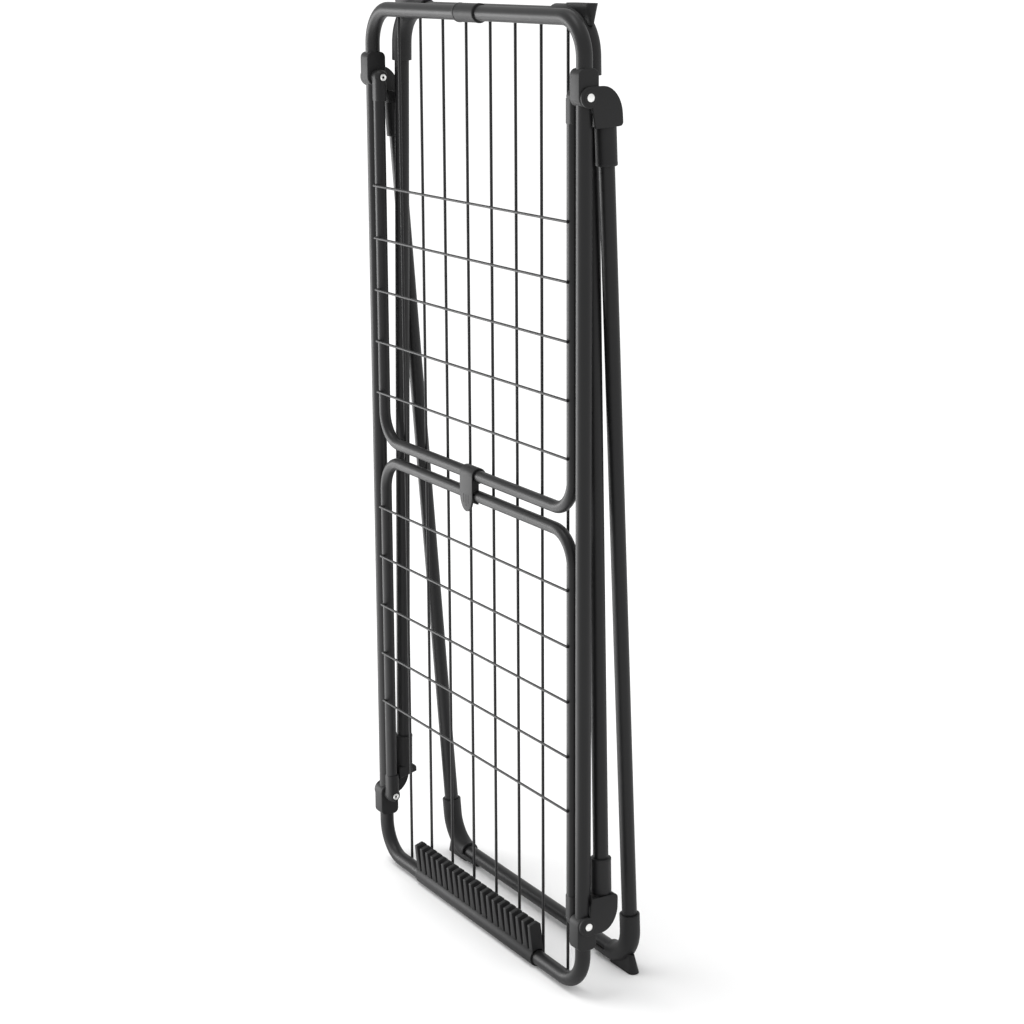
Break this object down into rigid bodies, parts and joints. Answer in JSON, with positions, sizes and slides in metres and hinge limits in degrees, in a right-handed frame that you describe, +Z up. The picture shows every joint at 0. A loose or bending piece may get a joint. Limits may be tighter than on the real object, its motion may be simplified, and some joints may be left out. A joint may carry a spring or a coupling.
{
  "type": "folding laundry drying rack",
  "caption": "Folding laundry drying rack with wire top, hinged wings, U-shaped tube legs, hanger comb and wing clip, folded flat and standing on end.",
  "frame": {"origin": "on the floor under the middle of the folded rack's outer box", "axes": "+X to the rack's right as seen from the wing side, -Y towards the wings, +Y towards the legs, +Z up the length of the folded rack"},
  "size_m": [0.5836, 0.1238, 1.2583],
  "materials": {
    "tube_coating": "satin black powder coat on steel tube",
    "wire_coating": "satin black powder coat on steel wire",
    "moulding": "black moulded plastic, fine texture",
    "rivet_steel": "bright zinc-plated steel",
    "insert_steel": "plain steel"
  },
  "bodies": {
    "main_frame": {"main_frame_tube": "tube_coating", "long_wires": "wire_coating", "joint_sleeve": "moulding", "joint_insert": "insert_steel", "comb_rail": "moulding", "comb_teeth": "moulding", "hinge_block_upper_right": "moulding", "hinge_block_upper_left": "moulding", "hinge_block_lower_right": "moulding", "hinge_block_lower_left": "moulding", "hinge_rivet_upper_right": "rivet_steel", "hinge_rivet_upper_left": "rivet_steel", "hinge_rivet_lower_right": "rivet_steel", "hinge_rivet_lower_left": "rivet_steel"},
    "outer_leg": {"outer_leg_tube": "tube_coating", "outer_leg_elbow_right": "moulding", "outer_leg_elbow_left": "moulding", "outer_leg_boot_right": "moulding", "outer_leg_boot_left": "moulding"},
    "inner_leg": {"inner_leg_tube": "tube_coating", "inner_leg_elbow_right": "moulding", "inner_leg_elbow_left": "moulding", "inner_leg_boot_right": "moulding", "inner_leg_boot_left": "moulding"},
    "upper_wing": {"upper_wing_tube": "tube_coating", "upper_wing_wires": "wire_coating", "upper_wing_socket_right": "moulding", "upper_wing_socket_left": "moulding"},
    "lower_wing": {"lower_wing_tube": "tube_coating", "lower_wing_wires": "wire_coating", "lower_wing_socket_right": "moulding", "lower_wing_socket_left": "moulding"},
    "clip": {"wing_clip": "moulding"}
  },
  "joints": [
    {"name": "outer_leg_hinge", "type": "hinge", "parent": "main_frame", "child": "outer_leg", "pos_m": [0, -0.04795, 1.1505], "axis": [1, 0, 0], "range_deg": [0, 101]},
    {"name": "inner_leg_hinge", "type": "hinge", "parent": "main_frame", "child": "inner_leg", "pos_m": [0, -0.04795, 0.1045], "axis": [-1, 0, 0], "range_deg": [0, 104.5]},
    {"name": "upper_wing_hinge", "type": "hinge", "parent": "main_frame", "child": "upper_wing", "pos_m": [0, -0.04795, 1.1505], "axis": [-1, 0, 0], "range_deg": [0, 155]},
    {"name": "lower_wing_hinge", "type": "hinge", "parent": "main_frame", "child": "lower_wing", "pos_m": [0, -0.04795, 0.1045], "axis": [1, 0, 0], "range_deg": [0, 155]},
    {"name": "clip_hinge", "type": "hinge", "parent": "upper_wing", "child": "clip", "pos_m": [0, -0.04995, 0.6415], "axis": [-1, 0, 0], "range_deg": [0, 75]}
  ]
}
